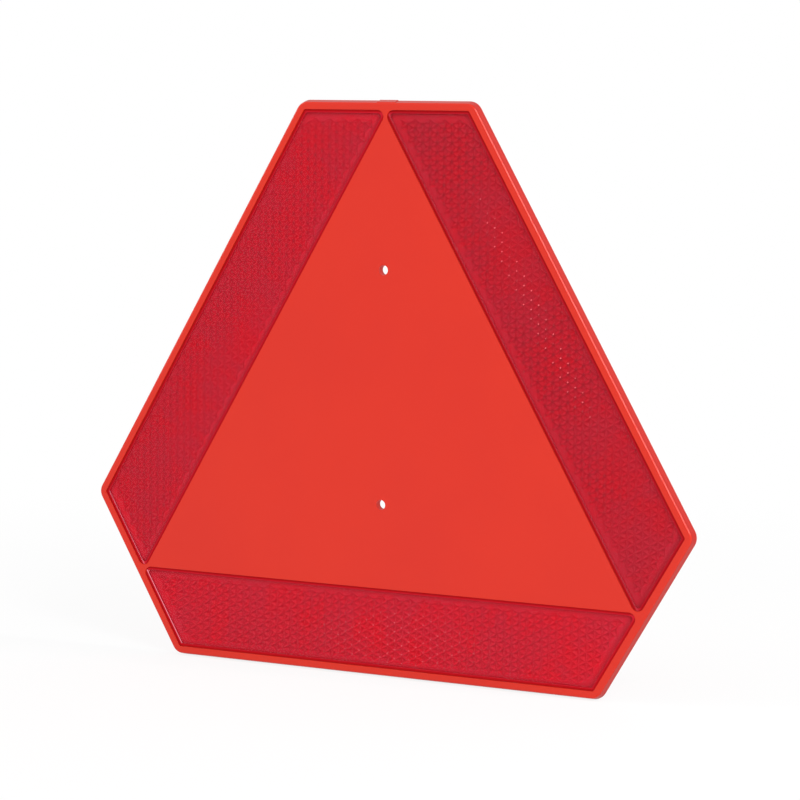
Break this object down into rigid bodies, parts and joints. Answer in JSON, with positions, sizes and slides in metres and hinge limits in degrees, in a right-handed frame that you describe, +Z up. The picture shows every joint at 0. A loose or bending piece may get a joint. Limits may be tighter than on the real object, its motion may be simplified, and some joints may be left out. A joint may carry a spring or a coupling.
{
  "type": "slow moving vehicle sign",
  "caption": "Flat triangular rear marking plate for slow vehicles: red-orange moulded tray with a plain centre, rounded rim, prismatic red reflectors along its sides and bolt holes.",
  "frame": {"origin": "midway between the two bolt holes, on the back plane", "axes": "+Z up as mounted, with one tip of the triangle at the top; -Y out of the reflecting face; +Y out of the back"},
  "size_m": [0.437, 0.006, 0.3813],
  "materials": {
    "carrier_plastic": "fluorescent red-orange moulded plastic, satin to gloss",
    "reflector_acrylic": "clear red acrylic over corner prisms, polished front"
  },
  "bodies": {
    "root": {"carrier": "carrier_plastic", "reflector_left": "reflector_acrylic", "reflector_right": "reflector_acrylic", "reflector_bottom": "reflector_acrylic"}
  },
  "joints": []
}
